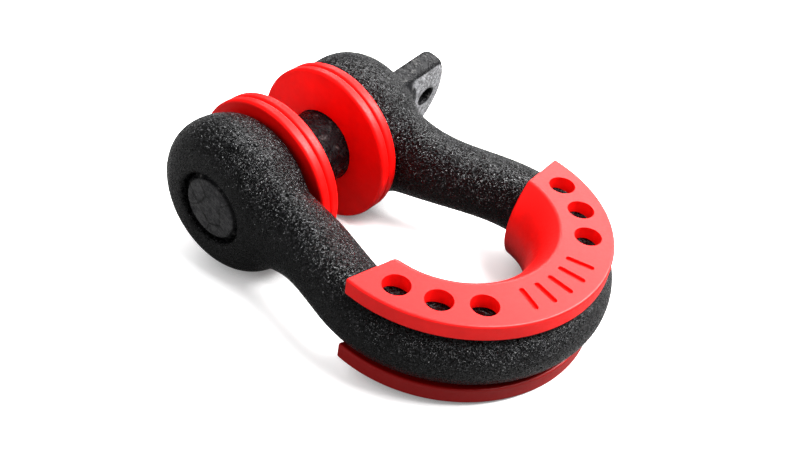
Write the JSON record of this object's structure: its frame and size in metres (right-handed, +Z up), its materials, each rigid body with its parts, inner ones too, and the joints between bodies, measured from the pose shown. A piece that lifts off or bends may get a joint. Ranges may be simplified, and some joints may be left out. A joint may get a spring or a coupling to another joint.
{
  "type": "bow shackle",
  "caption": "Screw-pin bow shackle for lifting and recovery, with moulded washers on its pin and a rubber isolator over its crown.",
  "frame": {"origin": "on the load pin's axis, half way between the ears", "axes": "+Y along the pin towards its eye head, +X from the pin towards the crown of the bow, +Z up; the plane of the bow is tipped 6.2 degrees about Y, crown down, as the part lies on level ground"},
  "size_m": [0.1238, 0.1082, 0.048],
  "materials": {
    "powder_coated_steel": "textured black powder coat with a fine grain",
    "coated_pin_steel": "rough glossy black coating over forged steel",
    "red_washer": "moulded polyurethane, satin red",
    "red_isolator": "moulded rubber, satin red"
  },
  "bodies": {
    "bow": {"bow": "powder_coated_steel", "isolator": "red_isolator"},
    "washer_head_outer": {"washer_head_outer": "red_washer"},
    "screw_pin": {"screw_pin": "coated_pin_steel"},
    "washer_head_inner": {"washer_head_inner": "red_washer"},
    "washer_thread_outer": {"washer_thread_outer": "red_washer"},
    "washer_thread_inner": {"washer_thread_inner": "red_washer"}
  },
  "joints": [
    {"name": "pin_turn", "type": "hinge", "parent": "bow", "child": "washer_head_outer", "pos_m": [0, 0, 0], "axis": [0, 1, 0], "continuous": true},
    {"name": "pin_withdraw", "type": "slide", "parent": "washer_head_outer", "child": "screw_pin", "axis": [0, 1, 0], "range_m": [0, 0.075]},
    {"name": "washer_head_slide", "type": "slide", "parent": "washer_head_outer", "child": "washer_head_inner", "axis": [0, -1, 0], "range_m": [0, 0.0093]},
    {"name": "washer_thread_turn", "type": "hinge", "parent": "bow", "child": "washer_thread_outer", "pos_m": [0, 0, 0], "axis": [0, 1, 0], "continuous": true},
    {"name": "washer_thread_slide", "type": "slide", "parent": "washer_thread_outer", "child": "washer_thread_inner", "axis": [0, 1, 0], "range_m": [0, 0.0093]}
  ]
}
